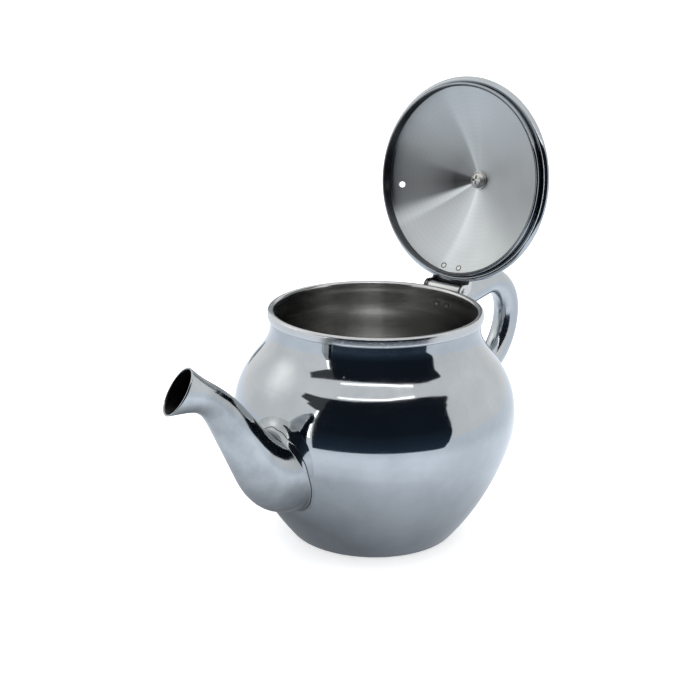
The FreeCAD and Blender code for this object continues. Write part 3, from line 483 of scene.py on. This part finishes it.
# near-black steel for the inner wall of the lid's plug ring: painted shade
painted_shade_ring = satin_steel("ring_painted_shade", (0.06, 0.065, 0.07), (0.13, 0.135, 0.14), 0.3, (1, 1, 6))
weld_steel = satin_steel("weld_line", (0.05, 0.045, 0.04), (0.22, 0.21, 0.2), 0.35, (1, 1, 1))
# the lid's edge: steel a little rougher than the mirror polish, and darker, which is painted shade
edge_polish_and_shade = polished_steel("edge_polish_painted_shade", (0.26, 0.285, 0.31), (0.34, 0.37, 0.395), 0.09)
base_steel = turned_steel("base_turned", (0.4, 0.41, 0.42), (0.5, 0.51, 0.52), 0.22, 0.5)
underside = lid_underside()
plate_steel = satin_steel("hinge_satin", (0.58, 0.58, 0.57), (0.7, 0.7, 0.69), 0.26, (1, 0.1, 1), 0.0000015)
screw_steel = turned_steel("screw_steel", (0.58, 0.58, 0.57), (0.7, 0.7, 0.68), 0.38, 0.0, 900.0)


# ---------------------------------------------------------------- pot


def strainer_holes():
    """Nineteen holes in a hexagon through the wall behind the spout."""
    pitch, height, radius = 6.0, 47.0, 2.0
    holes = []
    for row in range(-2, 3):
        count = 5 - abs(row)
        for place in range(count):
            y = pitch * (place - (count - 1) / 2)
            z = height + pitch * row * math.sqrt(3) / 2
            holes.append(((-80, y, z), (-45, y, z), radius))
    return holes


def make_pot():
    lip_roll, lip_hem = 1.45, 1.2
    lip_outside, lip_inside = NECK + lip_hem, NECK + lip_hem - 2 * lip_roll
    roll_height = HEM_TOP - lip_roll
    lip_outer = chain(
        arc((NECK, HEM_LOW + lip_hem), lip_hem, -90, 0, 8),
        arc((lip_outside - lip_roll, roll_height), lip_roll, 0, 180, 6),
    )
    # inside, the lip's wall eases out to the neck's
    neck_inside, ease_top, ease_low = NECK - WALL, 105.6, 102.2
    share = np.linspace(0, 1, 9)
    ease = np.column_stack([
        lip_inside + (neck_inside - lip_inside) * (1 - np.cos(math.pi * share)) / 2,
        ease_top - (ease_top - ease_low) * share])
    inside = inset(OUTSIDE, WALL)[::2]
    inside = inside[inside[:, 1] < ease_low - 0.2]
    outline = chain([(0, 0)], line((20, 0), (30, 0)), OUTSIDE, lip_outer,
                    line((lip_inside, roll_height), (lip_inside, ease_top)), ease,
                    inside[::-1], [(0, WALL)])
    top = int(np.argmax(outline[:, 1]))
    corner = int(np.argmin(np.abs(outline[:, 0] - 37.0) + outline[:, 1] * 50))
    hem = int(np.argmax(outline[:, 1] > HEM_LOW + 0.1))
    lip_end = top + 9          # a little way down the inside of the roll
    pick = [2 if i < corner else 0 if i < hem else 3 if i < lip_end else 1
            for i in range(len(outline) - 1)]
    pot = lathe("pot_shell", outline, [steel, inner_steel, base_steel, lip_steel], pick)
    drilled(pot, strainer_holes())
    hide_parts("pot_body")
    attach(pot, "pot")


make_pot()


# ---------------------------------------------------------------- spout


SPOUT = np.array([
    (-123.3, 98.5, 37.6, 11.0, 5.5),
    (-113.0, 94.4, 28.0, 7.5, 6.3),
    (-105.5, 89.6, 39.0, 7.1, 6.7),
    (-96.2, 79.6, 52.0, 8.8, 8.3),
    (-87.0, 66.8, 53.0, 10.5, 9.9),
    (-77.6, 55.6, 44.0, 13.6, 12.6),
    (-68.0, 48.6, 14.0, 18.8, 15.2),
    (-57.5, 46.5, -12.0, 21.6, 16.6),
])                             # centre x and z, lean, half height, half width


def spout_rings(places, inset, around):
    """Elliptical sections at places along the spout, 0 at the mouth."""
    step = np.hypot(*np.diff(SPOUT[:, :2], axis=0).T)
    knots = np.concatenate([[0], np.cumsum(step)])
    x, z, lean, tall, wide = (spline(knots, SPOUT[:, i], places * knots[-1]) for i in range(5))
    angle = np.linspace(0, 2 * math.pi, around, endpoint=False)
    lean = np.radians(lean)[..., None]
    up = (tall - inset)[..., None] * np.cos(angle)
    across = (wide - inset)[..., None] * np.sin(angle)
    return np.stack([x[..., None] + up * np.sin(lean), across,
                     z[..., None] + up * np.cos(lean)], -1)


def lines_to_pot(inset, around):
    """Each line along the tube, finely sampled, and how far along it meets the pot."""
    points = spout_rings(np.linspace(0, 1, 1500), inset, around)
    step = np.linalg.norm(np.diff(points, axis=0), axis=2)
    length = np.vstack([np.zeros(around), np.cumsum(step, axis=0)])
    above = np.hypot(points[..., 0], points[..., 1]) - pot_radius(points[..., 2]) - 0.1
    reach = np.empty(around)
    for j in range(around):
        first = int(np.argmax(above[:, j] < 0))
        share = above[first - 1, j] / (above[first - 1, j] - above[first, j])
        reach[j] = length[first - 1, j] + share * (length[first, j] - length[first - 1, j])
    return points, length, reach


def read_lines(points, length, distance):
    """The points at one distance along each line."""
    return np.array([[np.interp(distance[j], length[:, j], points[:, j, k]) for k in range(3)]
                     for j in range(points.shape[1])])


def collar(shaft_end, corner, out):
    """Rings of the fillet from the spout to the pot, with the weld's groove along it."""
    seam = np.roll(corner, -1, 0) - np.roll(corner, 1, 0)
    flat = corner * [1, 1, 0]
    normal = flat / np.linalg.norm(flat, axis=1, keepdims=True)
    slope = (pot_radius(corner[:, 2] + 0.5) - pot_radius(corner[:, 2] - 0.5))[:, None]
    normal = normal - slope * [0, 0, 1]
    side = np.cross(normal, seam)
    side /= np.linalg.norm(side, axis=1, keepdims=True)
    side *= np.sign(((corner - corner.mean(0)) * side).sum(1))[:, None]
    foot = corner + side * out[:, None]
    radius = pot_radius(foot[:, 2]) - 0.05
    foot[:, :2] *= (radius / np.hypot(foot[:, 0], foot[:, 1]))[:, None]
    turn = np.linspace(0, 2 * math.pi, len(corner), endpoint=False)
    weld = 0.34 + 0.03 * np.sin(5 * turn + 1) + 0.02 * np.sin(13 * turn)
    groove_width, groove_depth, above = 0.5, 0.3, 6
    width = groove_width / np.linalg.norm(foot - shaft_end, axis=1)
    places = [weld * k / (above + 1) for k in range(1, above + 1)]
    places += [weld + width * k for k in (0, 0.5, 1.0)]
    places += [weld + width + (1 - weld - width) * k / 10 for k in range(1, 11)]
    rings = []
    for number, share in enumerate(places):
        t = share[:, None]
        ring = (1 - t) ** 2 * shaft_end + 2 * t * (1 - t) * corner + t ** 2 * foot
        if number == above + 1:
            ring = ring - normal * groove_depth
        rings.append(ring)
    return rings, (above, above + 1)


def make_spout():
    around, wall = 240, 0.9
    top = np.cos(np.linspace(0, 2 * math.pi, around, endpoint=False))
    blend = np.clip(top, 0, 1)
    points, length, reach = lines_to_pot(0.0, around)
    # the fillet is short below the spout and wide above it
    back, out = 1.3 + 5.2 * blend, 2.0 + 9.0 * blend ** 0.7
    outer = [read_lines(points, length, (reach - back) * share)
             for share in np.linspace(0, 1, 140)]
    fillet, weld = collar(outer[-1], read_lines(points, length, reach), out)
    points, length, reach = lines_to_pot(wall, around)
    inner = [read_lines(points, length, reach * share) for share in np.linspace(0, 1, 90)]
    outward = outer[0] - inner[0]
    middle = (outer[0] + inner[0]) / 2
    along = outer[1] - outer[0]
    along /= np.linalg.norm(along, axis=1, keepdims=True)
    rim = [middle + outward / 2 * math.cos(a) - along * wall / 2 * math.sin(a)
           for a in np.radians([160, 140, 115, 90, 65, 40, 20])]
    rings = np.array(inner[::-1] + rim + outer + fillet + inner[-1:])
    first = len(inner) + len(rim) + len(outer)
    # the bore and the inside of the mouth's rim take the dark painted-shade steel
    pick = [1] * (len(inner) + 1) + [0] * (len(rings) - len(inner) - 2)
    for row in weld:
        pick[first + row] = 2
    spout = skin("spout_skin", rings[:, ::-1], [spout_polish, painted_shade_bore, weld_steel], pick)
    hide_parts("spout")
    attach(spout, "pot")


make_spout()


# ---------------------------------------------------------------- handle


def handle_line():
    """The tube's centreline in the XZ plane: arm, two bends, leg."""
    back, bend, upper, lower = 105.7, 85.5, 18.5, 29.0
    rise, fall = math.radians(10), math.radians(25)
    arm_x, leg_x = 46.0, 60.0
    top, low = (back - upper, bend), (back - lower, bend)
    arm_end = (top[0] - upper * math.sin(rise), bend + upper * math.cos(rise))
    arm_start = (arm_x, arm_end[1] - (arm_end[0] - arm_x) * math.tan(rise))
    leg_start = (low[0] + lower * math.sin(fall), bend - lower * math.cos(fall))
    leg_end = (leg_x, leg_start[1] - (leg_start[0] - leg_x) * math.tan(fall))
    return chain(
        line(arm_start, arm_end, 30),
        arc(top, upper, 100, 0, 2),
        arc(low, lower, 0, -65, 1.5),
        line(leg_start, leg_end, 24),
    )


def tube_rings(path, radius, around):
    """Round sections square to a path in the XZ plane."""
    along = np.gradient(path, axis=0)
    along /= np.linalg.norm(along, axis=1, keepdims=True)
    normal = np.column_stack([-along[:, 1], along[:, 0]])
    angle = np.linspace(0, 2 * math.pi, around, endpoint=False)
    out, side = radius * np.cos(angle), radius * np.sin(angle)
    return np.stack([path[:, :1] + normal[:, :1] * out, np.tile(side, (len(path), 1)),
                     path[:, 1:] + normal[:, 1:] * out], -1)


def make_handle():
    around, radius = 96, 6.4
    path = handle_line()
    rings = tube_rings(path, radius, around)
    middle = int(np.argmax(path[:, 0]))
    for j in range(around):
        gap = (np.hypot(rings[:, j, 0], rings[:, j, 1])
               - pot_radius(np.minimum(rings[:, j, 2], HEM_LOW - 0.8)) - 0.1)
        for part in (range(middle, 0, -1), range(middle, len(path) - 1)):
            step = 1 if part[1] > part[0] else -1
            for i in part:
                if gap[i + step] < 0:
                    share = gap[i] / (gap[i] - gap[i + step])
                    end = rings[i, j] + (rings[i + step, j] - rings[i, j]) * share
                    rings[i + step::step, j] = end
                    break
    moved = np.abs(np.diff(rings, axis=0)).max(axis=(1, 2)) > 1e-6
    rings = rings[np.concatenate([[True], moved])]
    handle = skin("handle_tube", rings, [handle_polish], caps=True)
    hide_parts("handle")
    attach(handle, "pot")


make_handle()


# ---------------------------------------------------------------- hinge


def softened(node, name, materials, width):
    """A copy of a CAD node with its edges rounded; a second material, when given, goes on the faces
    that look towards the spout, which for the strap is a near-black painted shade."""
    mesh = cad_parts[node].data.copy()
    work = bmesh.new()
    work.from_mesh(mesh)
    bmesh.ops.remove_doubles(work, verts=work.verts, dist=1e-6)
    bmesh.ops.dissolve_limit(work, angle_limit=math.radians(1.0), verts=work.verts,
                             edges=work.edges)
    work.to_mesh(mesh)
    work.free()
    mesh.materials.clear()
    for material in materials:
        mesh.materials.append(material)
    piece = bpy.data.objects.new(name, mesh)
    bpy.context.scene.collection.objects.link(piece)
    round_off = piece.modifiers.new("edges", "BEVEL")
    round_off.width = width * MM
    round_off.segments = 3
    round_off.limit_method = "ANGLE"
    round_off.angle_limit = math.radians(35)
    round_off.use_clamp_overlap = True
    applied(piece)
    for face in piece.data.polygons:
        # faces towards the spout take the second material, on the strap a painted shade
        face.material_index = int(len(materials) > 1 and face.normal.x < -0.3)
    piece.data.shade_smooth()
    piece.data.set_sharp_from_angle(angle=math.radians(40))
    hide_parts(node)
    return piece


bracket = softened("hinge_bracket", "hinge_knuckle", [plate_steel], 0.25)
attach(bracket, "pot")
# the strap's faces towards the spout get painted shade
strap = softened("lid_strap", "hinge_strap", [plate_steel, painted_shade_strap], 0.2)
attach(strap, "lid")


# ---------------------------------------------------------------- lid


def make_dome():
    roll, edge = 1.9, (47.5, 110.3)
    centre, inner = (0, DOME_CENTRE), DOME - WALL
    # the roll at the lid's edge starts where its circle crosses the dome's
    rise = edge[1] - DOME_CENTRE
    apart = math.hypot(edge[0], rise)
    along = (apart ** 2 + DOME ** 2 - roll ** 2) / (2 * apart)
    dome_end = math.degrees(math.atan2(rise, edge[0]) - math.acos(along / DOME))
    join = (DOME * math.cos(math.radians(dome_end)),
            DOME_CENTRE + DOME * math.sin(math.radians(dome_end)))
    roll_start = math.degrees(math.atan2(join[1] - edge[1], join[0] - edge[0]))
    inner_rise = math.sqrt(inner ** 2 - LID_INSIDE ** 2)
    inner_start = math.degrees(math.atan2(inner_rise, LID_INSIDE))
    outline = chain(
        [(0, DOME_TOP)],
        arc(centre, DOME, 90, dome_end, 0.4)[1:],
        arc(edge, roll, roll_start, -120, 5),
        line((46.55, 108.655), (LID_INSIDE, 108.9), 2),
        line((LID_INSIDE, 108.9), (LID_INSIDE, DOME_CENTRE + inner_rise)),
        arc(centre, inner, inner_start, 90, 0.4)[:-1],
        [(0, DOME_TOP - WALL)],
    )[::-1]
    half = int(np.argmax(outline[:, 0] > LID_INSIDE - 0.01))
    under_edge = len(outline) - 1 - int(np.argmin(outline[::-1, 1]))
    # the wall inside the lid's edge and the roll's underside take the darker edge steel, painted shade
    pick = [1 if i < half else 2 if i < under_edge else 0 for i in range(len(outline) - 1)]
    dome = lathe("lid_shell", outline, [steel, underside, edge_polish_and_shade], pick)
    vent_radius, vent_reach, vent_turn = 1.5, 40.7, math.radians(79.4)
    x, y = vent_reach * math.cos(vent_turn), vent_reach * math.sin(vent_turn)
    drilled(dome, [((x, y, 100), (x, y, 130), vent_radius)])
    stand_open(dome)
    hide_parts("lid_dome")
    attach(dome, "lid")


def make_skirt():
    outside, inside, top, bead, bead_height = 46.3, 45.5, 111.0, 0.85, 106.1
    ring = chain(
        line((outside, top), (outside, bead_height)),
        arc((outside - bead, bead_height), bead, 0, -270, 8),
        line((inside, 107.0), (inside, top)),
        line((inside, top), (outside, top)),
    )[::-1]
    # the ring's inner wall takes near-black painted shade; the rest the darker edge steel, partly painted
    # shade
    pick = [1 if max(a[0], b[0]) < inside + 0.1 else 0 for a, b in zip(ring[:-1], ring[1:])]
    skirt = lathe("lid_plug_ring", ring, [edge_polish_and_shade, painted_shade_ring], pick)
    stand_open(skirt)
    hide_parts("lid_skirt")
    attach(skirt, "lid")


def make_knob():
    foot, top, crown = DOME_TOP + 0.1, 142.3, 13.75
    outline = chain(
        [(0, foot)],
        line((3.0, foot), (4.9, foot)),
        arc((4.9, foot + 0.3), 0.3, -90, 0, 30),
        line((5.2, foot + 0.3), (5.2, foot + 0.8)),
        arc((5.9, 129.4), 2.6, 230, 180, 6),
        arc((10.6, 129.4), 6.9, 180, 118, 4),
        arc((9.4, 136.8), 1.6, -70, 10, 8),
        arc((0, top - crown), crown, 39, 90, 2)[:-1],
        [(0, top)],
    )
    knob = lathe("lid_knob_turned", outline, [steel], around=128)
    stand_open(knob)
    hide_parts("lid_knob")
    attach(knob, "lid")


make_dome()
make_skirt()
make_knob()


def spot_weld(name, place, facing, ride_on):
    """A small round pressed mark: a bright middle and a raised, heat-tinted edge."""
    outline = chain(line((0, 0.02), (1.0, 0.02), 2), arc((1.28, 0.0), 0.18, 150, 0, 30),
                    [(1.6, -0.3)])[::-1]
    pick = [1 if a[0] < 1.05 else 0 for a in outline[:-1]]
    spot = lathe(name, outline, [weld_steel, plate_steel], pick, around=40)
    turn = Vector(facing).to_track_quat("Z", "Y").to_matrix().to_4x4()
    spot.matrix_world = Matrix.Translation(Vector(place) * MM) @ turn
    if ride_on == "lid":
        stand_open(spot)
    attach(spot, ride_on)


LID_WELD_X, POT_WELD_HEIGHT = 43.0, 100.8
for number, side in enumerate((-1.6, 7.2)):
    drop = math.sqrt((DOME - WALL) ** 2 - LID_WELD_X ** 2 - side ** 2)
    spot_weld("lid_weld_%d" % number, (LID_WELD_X, side, DOME_CENTRE + drop),
              (-LID_WELD_X, -side, -drop), "lid")
for number, turn in enumerate((1.5, -6.0)):
    out = Vector((math.cos(math.radians(turn)), math.sin(math.radians(turn)), 0))
    spot_weld("pot_weld_%d" % number, out * (NECK - WALL) + Vector((0, 0, POT_WELD_HEIGHT)),
              -out, "pot")

for node, material in (("hinge_pin", plate_steel), ("knob_washer", screw_steel),
                       ("knob_screw", screw_steel)):
    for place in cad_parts[node].material_slots:
        place.material = material


# ---------------------------------------------------------------- studio


def plain_material(name, colour, strength):
    """A flat emitter for the studio's cards and tubes."""
    material = bpy.data.materials.new(name)
    material.use_nodes = True
    nodes = material.node_tree.nodes
    nodes.clear()
    glow = nodes.new("ShaderNodeEmission")
    glow.name = "Emission"
    glow.inputs["Color"].default_value = (*colour, 1)
    glow.inputs["Strength"].default_value = strength
    out = nodes.new("ShaderNodeOutputMaterial")
    material.node_tree.links.new(glow.outputs[0], out.inputs["Surface"])
    return material


def reflected_only(piece):
    for ray in ("camera", "diffuse", "transmission", "volume_scatter", "shadow"):
        setattr(piece, "visible_" + ray, False)


def reflected_card(name, radius, edge, material):
    """A curved card round the pot that only reflections see. Its edge is given as
    (degrees from +X, bottom, top)."""
    edge = np.array(edge, float)
    count = 120
    turn = np.linspace(edge[0, 0], edge[-1, 0], count)
    low, high = (np.interp(turn, edge[:, 0], edge[:, k]) for k in (1, 2))
    angle = np.radians(turn)
    x, y = radius * np.cos(angle), radius * np.sin(angle)
    points = np.concatenate([np.column_stack([x, y, low]), np.column_stack([x, y, high])])
    faces = [[i, i + 1, count + 1 + i, count + i] for i in range(count - 1)]
    reflected_only(add_mesh(name, points, faces, [material]))


def shaded_by_distance(name, centre, stops, scale=1.0):
    """An emitter whose colour goes by the distance from a point, from (metres, colour) stops.
    The scale spreads short distances over more of the ramp, which has even steps."""
    material = plain_material(name, (1, 1, 1), 1.0)
    nodes, links = material.node_tree.nodes, material.node_tree.links
    reach = nodes.new("ShaderNodeVectorMath")
    reach.operation = "DISTANCE"
    reach.inputs[1].default_value = centre
    links.new(nodes.new("ShaderNodeTexCoord").outputs["Object"], reach.inputs[0])
    scaled = nodes.new("ShaderNodeMath")
    scaled.operation = "MULTIPLY"
    scaled.inputs[1].default_value = scale
    links.new(reach.outputs["Value"], scaled.inputs[0])
    stops = [(distance * scale, colour) for distance, colour in stops]
    links.new(ramp(nodes, scaled.outputs[0], links, stops), nodes["Emission"].inputs["Color"])
    return material


def square(name, half, material):
    """A flat square round the origin, half its side given in mm."""
    corners = [(-half, -half, 0), (half, -half, 0), (half, half, 0), (-half, half, 0)]
    return add_mesh(name, corners, [[0, 1, 2, 3]], [material])


def make_floor():
    """The floor that the camera sees, and a glowing one under the pot that only reflections see, with
    painted shade that darkens it towards the pot.
    """
    paper = bpy.data.materials.new("paper")
    paper.use_nodes = True
    shader = paper.node_tree.nodes["Principled BSDF"]
    shader.inputs["Base Color"].default_value = (0.93, 0.93, 0.93, 1)
    shader.inputs["Roughness"].default_value = 0.8
    shader.inputs["Emission Color"].default_value = (1, 1, 1, 1)
    shader.inputs["Emission Strength"].default_value = 0.5
    floor = square("floor", 4000, paper)
    floor.visible_glossy = False
    # painted shade: the reflected floor's grey by the distance from a point beside the pot, darkest near it
    greys = [(40, 0.25), (60, 0.46), (66, 0.53), (75, 0.62), (85, 0.7), (110, 0.98), (150, 1.14),
             (200, 1.18), (330, 1.02)]
    stops = [(r * MM, (g * 0.94, g, g * 1.08)) for r, g in greys]
    shade = shaded_by_distance("floor_shade", (-0.014, 0.012, 0), stops, 2.5)
    reflected_only(square("floor_reflected", 1000, shade))


def make_cards():
    """Dark cards, light tubes and a soft glow for the steel to reflect."""
    dark = plain_material("dark_card", (1, 1, 1), 1.0)
    nodes, links = dark.node_tree.nodes, dark.node_tree.links
    height = nodes.new("ShaderNodeSeparateXYZ")
    links.new(nodes.new("ShaderNodeTexCoord").outputs["Object"], height.inputs[0])
    stops = [(0.0, (0.03, 0.05, 0.078)), (0.05, (0.02, 0.034, 0.052)),
             (0.12, (0.011, 0.016, 0.024)), (0.4, (0.011, 0.015, 0.022))]
    links.new(ramp(nodes, height.outputs["Z"], links, stops), nodes["Emission"].inputs["Color"])
    reflected_card("card_front", 325, [(176.5, 0.5, 384), (186, 0.5, 399), (206, 0.5, 425),
                                       (226, 0.5, 440), (247, 0.5, 438), (267, 0.5, 404),
                                       (271, 3, 394), (274.5, 31, 383), (278, 82, 372),
                                       (279.3, 191, 366), (282, 241, 352), (290.6, 300, 314)], dark)
    far = plain_material("far_card", (0.85, 0.93, 1.0), 0.3)
    reflected_card("card_back", 620, [(20, 10, 330), (26, 4, 352), (62, 4, 352), (68, 10, 330)], far)
    wing = plain_material("grey_card", (0.9, 0.95, 1.0), 0.08)
    reflected_card("card_left", 325, [(151, 288, 334), (157, 280, 346), (167, 262, 364),
                                      (174.4, 245, 380), (176.5, 0.5, 384)], wing)
    tube = plain_material("light_tube", (1.0, 1.0, 1.0), 5.0)
    reflected_card("tube_top", 324, [(182, 419, 428), (194, 436, 448), (206, 449, 463),
                                     (221, 455, 470), (247, 447, 461), (263, 424, 435)], tube)
    reflected_card("tube_left", 324, [(172.6, 60, 250), (173.9, 60, 250)], tube)
    glow = shaded_by_distance("soft_glow", (0, 0, 0), [
        (0.0, (1.75, 1.74, 1.68)), (0.2, (1.55, 1.54, 1.5)), (0.5, (1.14, 1.14, 1.13)),
        (0.75, (1.03, 1.03, 1.03))])
    card = square("card_glow", 900, glow)
    way = Vector((-0.30, 0.77, 0.56)).normalized()
    away = 1.7
    card.matrix_world = (Matrix.Translation(way * away)
                         @ way.to_track_quat("Z", "Y").to_matrix().to_4x4())
    reflected_only(card)


def make_light():
    world = bpy.data.worlds.new("studio")
    bpy.context.scene.world = world
    world.use_nodes = True
    back = world.node_tree.nodes["Background"]
    back.inputs["Color"].default_value = (1.0, 1.0, 1.0, 1)
    back.inputs["Strength"].default_value = 1.03
    lamp = bpy.data.lights.new("overhead", "AREA")
    lamp.shape = "DISK"
    lamp.size = 1.6
    lamp.energy = 9.0
    overhead = bpy.data.objects.new("overhead", lamp)
    overhead.location = (0.1, 0.1, 1.5)
    overhead.visible_glossy = False
    bpy.context.scene.collection.objects.link(overhead)


def make_camera():
    lens = bpy.data.cameras.new("camera")
    lens.lens = 74.6
    lens.sensor_width = 36.0
    camera = bpy.data.objects.new("camera", lens)
    forward = Vector((0.7215, 0.6236, -0.3010)).normalized()
    right = Vector((0.6564, -0.7544, 0.0102))
    right = (right - forward * right.dot(forward)).normalized()
    turn = Matrix((right, right.cross(forward), -forward)).transposed().to_4x4()
    camera.matrix_world = Matrix.Translation(Vector((-0.4955, -0.4129, 0.2911))) @ turn
    bpy.context.scene.collection.objects.link(camera)
    bpy.context.scene.camera = camera


bpy.context.scene.view_settings.view_transform = "Standard"
make_floor()
make_cards()
make_light()
make_camera()
